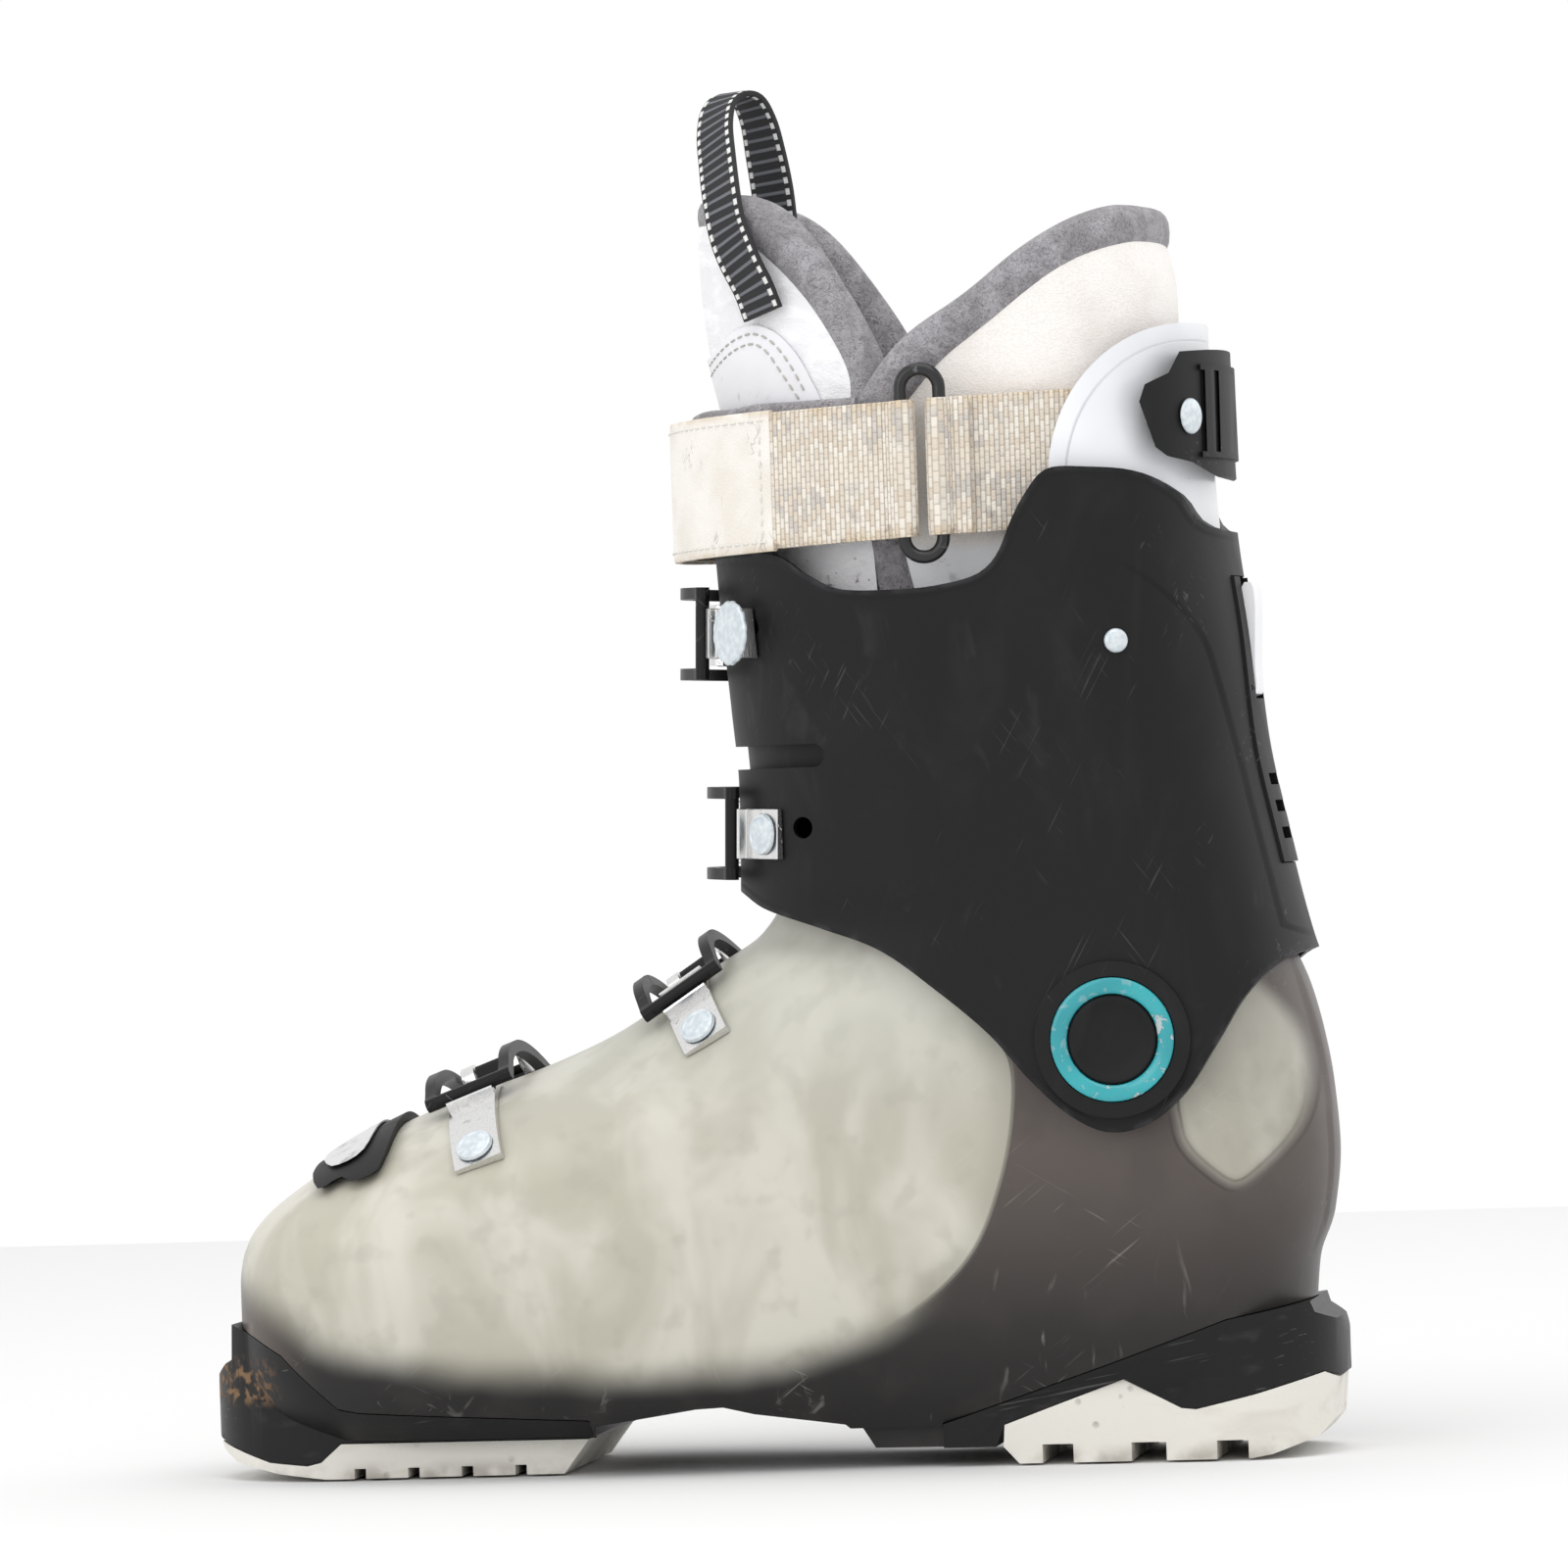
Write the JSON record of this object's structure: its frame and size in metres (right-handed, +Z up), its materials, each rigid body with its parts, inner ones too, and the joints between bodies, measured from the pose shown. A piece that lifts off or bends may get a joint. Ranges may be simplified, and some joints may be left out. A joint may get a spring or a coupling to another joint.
{
  "type": "alpine ski boot",
  "caption": "Overlap alpine ski boot: translucent lower shell, hinged cuff, over-centre buckles with wire bails, liner, tongue and power strap.",
  "frame": {"origin": "middle of the sole length and width, on the floor plane", "axes": "+X to the toe, +Y to the inner (medial) side, +Z up"},
  "size_m": [0.2972, 0.1152, 0.3573],
  "materials": {
    "shell_plastic": "translucent smoked polyurethane",
    "dark_plastic": "moulded, slightly matt",
    "cuff_plastic": "matt polyurethane",
    "white_plastic": "smooth",
    "sole_rubber": "moulded, scuffed",
    "grey_inset": "matt",
    "ring_teal": "glossy, chipped",
    "buckle_metal": "polished",
    "steel": "satin",
    "wire_black": "black coated",
    "liner_fabric": "coated fabric over foam",
    "plush": "short pile",
    "tongue_fabric": "grained, soft",
    "webbing": "woven",
    "loop_webbing": "woven ribs",
    "tab_leather": "smooth, stitched",
    "board": "moulded"
  },
  "bodies": {
    "shell": {"lower_shell": "shell_plastic", "toe_sole_block": "dark_plastic", "toe_sole_pad": "sole_rubber", "heel_sole_block": "dark_plastic", "heel_sole_pad": "sole_rubber", "boot_board": "board", "insole": "plush", "liner_foot": "liner_fabric", "toe_guard": "dark_plastic", "toe_guard_inset": "grey_inset", "walk_catch": "steel", "pivot_bolt_medial": "dark_plastic", "pivot_bolt_lateral": "dark_plastic", "toe_ladder": "buckle_metal", "toe_ladder_rivet": "steel", "toe_buckle_base": "dark_plastic", "toe_lever_pin": "steel", "instep_ladder": "buckle_metal", "instep_ladder_rivet": "steel", "instep_buckle_base": "dark_plastic", "instep_lever_pin": "steel"},
    "cuff": {"cuff": "cuff_plastic", "pivot_ring_medial": "ring_teal", "pivot_ring_lateral": "ring_teal", "spoiler": "white_plastic", "spoiler_rivet_medial": "steel", "spoiler_rivet_lateral": "steel", "strap_clip": "dark_plastic", "clip_rivet_medial": "steel", "clip_rivet_lateral": "steel", "liner_shaft": "liner_fabric", "liner_ankle_bellows": "liner_fabric", "liner_collar": "plush", "tongue": "tongue_fabric", "tongue_trim": "plush", "tongue_patch": "tongue_fabric", "pull_loop": "loop_webbing", "power_strap": "webbing", "strap_ring": "wire_black", "strap_tab": "tab_leather", "strap_pad": "plush", "spine_plate": "dark_plastic", "walk_lever_pin": "steel", "lower_cuff_ladder": "buckle_metal", "lower_cuff_ladder_rivet": "steel", "lower_cuff_buckle_base": "dark_plastic", "lower_cuff_lever_pin": "steel", "upper_cuff_ladder": "buckle_metal", "upper_cuff_ladder_rivet": "steel", "upper_cuff_buckle_base": "dark_plastic", "upper_cuff_lever_pin": "steel"},
    "toe_lever": {"toe_lever": "buckle_metal"},
    "toe_bail": {"toe_bail": "wire_black"},
    "instep_lever": {"instep_lever": "buckle_metal"},
    "instep_bail": {"instep_bail": "wire_black"},
    "lower_cuff_lever": {"lower_cuff_lever": "buckle_metal"},
    "lower_cuff_bail": {"lower_cuff_bail": "wire_black"},
    "upper_cuff_lever": {"upper_cuff_lever": "buckle_metal"},
    "upper_cuff_bail": {"upper_cuff_bail": "wire_black"},
    "walk_lever": {"walk_lever": "white_plastic"}
  },
  "joints": [
    {"name": "cuff_flex", "type": "hinge", "parent": "shell", "child": "cuff", "pos_m": [-0.0955, 0, 0.1086], "axis": [0, -1, 0], "range_deg": [-4, 17], "deforming": ["liner_ankle_bellows"]},
    {"name": "toe_lever_throw", "type": "hinge", "parent": "shell", "child": "toe_lever", "pos_m": [0.07772, -0.01659, 0.1026], "axis": [-0.9367, 0, 0.3502], "range_deg": [0, 100]},
    {"name": "toe_bail_swing", "type": "hinge", "parent": "toe_lever", "child": "toe_bail", "pos_m": [0.07605, -0.03128, 0.09814], "axis": [-0.9367, 0, 0.3502], "range_deg": [-150, 0]},
    {"name": "instep_lever_throw", "type": "hinge", "parent": "shell", "child": "instep_lever", "pos_m": [0.02207, -0.01914, 0.12685], "axis": [-0.8387, 0, 0.5446], "range_deg": [0, 100]},
    {"name": "instep_bail_swing", "type": "hinge", "parent": "instep_lever", "child": "instep_bail", "pos_m": [0.01765, -0.0331, 0.12005], "axis": [-0.8387, 0, 0.5446], "range_deg": [-150, 0]},
    {"name": "lower_cuff_lever_throw", "type": "hinge", "parent": "cuff", "child": "lower_cuff_lever", "pos_m": [0.00891, -0.01908, 0.16409], "axis": [-0.0349, 0, 0.9994], "range_deg": [0, 100]},
    {"name": "lower_cuff_bail_swing", "type": "hinge", "parent": "lower_cuff_lever", "child": "lower_cuff_bail", "pos_m": [0.0014, -0.03321, 0.16383], "axis": [-0.0349, 0, 0.9994], "range_deg": [-150, 0]},
    {"name": "upper_cuff_lever_throw", "type": "hinge", "parent": "cuff", "child": "upper_cuff_lever", "pos_m": [0.01223, -0.01884, 0.21612], "axis": [-0.0349, 0, 0.9994], "range_deg": [0, 100]},
    {"name": "upper_cuff_bail_swing", "type": "hinge", "parent": "upper_cuff_lever", "child": "upper_cuff_bail", "pos_m": [0.00582, -0.03332, 0.2159], "axis": [-0.0349, 0, 0.9994], "range_deg": [-150, 0]},
    {"name": "walk_lever_flip", "type": "hinge", "parent": "cuff", "child": "walk_lever", "pos_m": [-0.12922, 0, 0.197], "axis": [0, -1, 0], "range_deg": [0, 60]}
  ],
  "couplings": [
    {"joint": "toe_bail_swing", "follows": "toe_lever_throw", "ratio": -1.5},
    {"joint": "instep_bail_swing", "follows": "instep_lever_throw", "ratio": -1.5},
    {"joint": "lower_cuff_bail_swing", "follows": "lower_cuff_lever_throw", "ratio": -1.5},
    {"joint": "upper_cuff_bail_swing", "follows": "upper_cuff_lever_throw", "ratio": -1.5}
  ]
}
